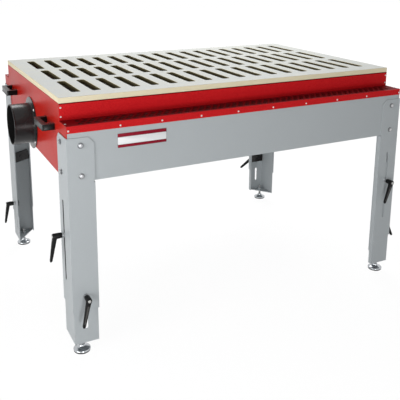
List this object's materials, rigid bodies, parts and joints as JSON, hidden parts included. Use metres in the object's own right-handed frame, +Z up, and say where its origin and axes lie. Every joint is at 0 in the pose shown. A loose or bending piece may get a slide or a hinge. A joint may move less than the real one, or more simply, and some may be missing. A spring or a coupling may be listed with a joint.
{
  "type": "downdraft table",
  "caption": "Slotted work board on a sheet-metal extraction box with perforated side trays, a round duct port at one end, and telescopic corner legs with clamping levers and levelling feet.",
  "frame": {"origin": "on the floor, under the middle of the whole object's outer box", "axes": "+X along the table away from the duct port, +Y towards the rear long side, +Z up"},
  "size_m": [1.6454, 1.2078, 0.9561],
  "materials": {
    "board": "light grey laminate with a bare wood-coloured edge",
    "red_sheet": "finely textured enamel",
    "grey_sheet": "satin enamel",
    "black_enamel": "semi-gloss enamel",
    "black_plastic": "moulded, satin",
    "steel": "zinc plated"
  },
  "bodies": {
    "table": {"work_board": "board", "front_fascia": "red_sheet", "rear_fascia": "red_sheet", "front_intake_tray": "red_sheet", "rear_intake_tray": "red_sheet", "front_apron": "grey_sheet", "rear_apron": "grey_sheet", "left_end_panel": "red_sheet", "right_end_panel": "red_sheet", "plenum_floor": "grey_sheet", "left_cross_rail": "grey_sheet", "centre_cross_rail": "grey_sheet", "right_cross_rail": "grey_sheet", "exhaust_port": "black_enamel", "left_front_handle": "black_plastic", "left_rear_handle": "black_plastic", "right_front_handle": "black_plastic", "right_rear_handle": "black_plastic", "front_left_outer_leg": "grey_sheet", "front_left_lower_clamp_plate": "black_enamel", "front_left_apron_bolts": "steel", "front_left_panel_bolts": "steel", "front_right_outer_leg": "grey_sheet", "front_right_lower_clamp_plate": "black_enamel", "front_right_apron_bolts": "steel", "front_right_panel_bolts": "steel", "rear_right_outer_leg": "grey_sheet", "rear_right_lower_clamp_plate": "black_enamel", "rear_right_apron_bolts": "steel", "rear_right_panel_bolts": "steel", "rear_left_outer_leg": "grey_sheet", "rear_left_lower_clamp_plate": "black_enamel", "rear_left_apron_bolts": "steel", "rear_left_panel_bolts": "steel"},
    "front_left_leg": {"front_left_inner_leg": "grey_sheet", "front_left_upper_clamp_plate": "black_enamel"},
    "front_left_foot": {"front_left_foot_stem": "steel", "front_left_foot_pad": "steel"},
    "front_left_lower_lever_body": {"front_left_lower_lever": "black_plastic"},
    "front_left_upper_lever_body": {"front_left_upper_lever": "black_plastic"},
    "front_right_leg": {"front_right_inner_leg": "grey_sheet", "front_right_upper_clamp_plate": "black_enamel"},
    "front_right_foot": {"front_right_foot_stem": "steel", "front_right_foot_pad": "steel"},
    "front_right_lower_lever_body": {"front_right_lower_lever": "black_plastic"},
    "front_right_upper_lever_body": {"front_right_upper_lever": "black_plastic"},
    "rear_right_leg": {"rear_right_inner_leg": "grey_sheet", "rear_right_upper_clamp_plate": "black_enamel"},
    "rear_right_foot": {"rear_right_foot_stem": "steel", "rear_right_foot_pad": "steel"},
    "rear_right_lower_lever_body": {"rear_right_lower_lever": "black_plastic"},
    "rear_right_upper_lever_body": {"rear_right_upper_lever": "black_plastic"},
    "rear_left_leg": {"rear_left_inner_leg": "grey_sheet", "rear_left_upper_clamp_plate": "black_enamel"},
    "rear_left_foot": {"rear_left_foot_stem": "steel", "rear_left_foot_pad": "steel"},
    "rear_left_lower_lever_body": {"rear_left_lower_lever": "black_plastic"},
    "rear_left_upper_lever_body": {"rear_left_upper_lever": "black_plastic"}
  },
  "joints": [
    {"name": "front_left_leg_slide", "type": "slide", "parent": "table", "child": "front_left_leg", "axis": [0, 0, -1], "range_m": [-0.128, 0.172]},
    {"name": "front_left_foot_screw", "type": "slide", "parent": "front_left_leg", "child": "front_left_foot", "axis": [0, 0, -1], "range_m": [-0.018, 0.015]},
    {"name": "front_left_lower_lever_turn", "type": "hinge", "parent": "table", "child": "front_left_lower_lever_body", "pos_m": [-0.69299, -0.5458, 0.238], "axis": [0, -1, 0], "range_deg": [-90, 90]},
    {"name": "front_left_upper_lever_turn", "type": "hinge", "parent": "front_left_leg", "child": "front_left_upper_lever_body", "pos_m": [-0.74199, -0.4678, 0.455], "axis": [-1, 0, 0], "range_deg": [-90, 90]},
    {"name": "front_right_leg_slide", "type": "slide", "parent": "table", "child": "front_right_leg", "axis": [0, 0, -1], "range_m": [-0.128, 0.172]},
    {"name": "front_right_foot_screw", "type": "slide", "parent": "front_right_leg", "child": "front_right_foot", "axis": [0, 0, -1], "range_m": [-0.018, 0.015]},
    {"name": "front_right_lower_lever_turn", "type": "hinge", "parent": "table", "child": "front_right_lower_lever_body", "pos_m": [0.76461, -0.4678, 0.238], "axis": [1, 0, 0], "range_deg": [-90, 90]},
    {"name": "front_right_upper_lever_turn", "type": "hinge", "parent": "front_right_leg", "child": "front_right_upper_lever_body", "pos_m": [0.71561, -0.5458, 0.455], "axis": [0, -1, 0], "range_deg": [-90, 90]},
    {"name": "rear_right_leg_slide", "type": "slide", "parent": "table", "child": "rear_right_leg", "axis": [0, 0, -1], "range_m": [-0.128, 0.172]},
    {"name": "rear_right_foot_screw", "type": "slide", "parent": "rear_right_leg", "child": "rear_right_foot", "axis": [0, 0, -1], "range_m": [-0.018, 0.015]},
    {"name": "rear_right_lower_lever_turn", "type": "hinge", "parent": "table", "child": "rear_right_lower_lever_body", "pos_m": [0.71561, 0.5458, 0.238], "axis": [0, 1, 0], "range_deg": [-90, 90]},
    {"name": "rear_right_upper_lever_turn", "type": "hinge", "parent": "rear_right_leg", "child": "rear_right_upper_lever_body", "pos_m": [0.76461, 0.4678, 0.455], "axis": [1, 0, 0], "range_deg": [-90, 90]},
    {"name": "rear_left_leg_slide", "type": "slide", "parent": "table", "child": "rear_left_leg", "axis": [0, 0, -1], "range_m": [-0.128, 0.172]},
    {"name": "rear_left_foot_screw", "type": "slide", "parent": "rear_left_leg", "child": "rear_left_foot", "axis": [0, 0, -1], "range_m": [-0.018, 0.015]},
    {"name": "rear_left_lower_lever_turn", "type": "hinge", "parent": "table", "child": "rear_left_lower_lever_body", "pos_m": [-0.74199, 0.4678, 0.238], "axis": [-1, 0, 0], "range_deg": [-90, 90]},
    {"name": "rear_left_upper_lever_turn", "type": "hinge", "parent": "rear_left_leg", "child": "rear_left_upper_lever_body", "pos_m": [-0.69299, 0.5458, 0.455], "axis": [0, 1, 0], "range_deg": [-90, 90]}
  ]
}
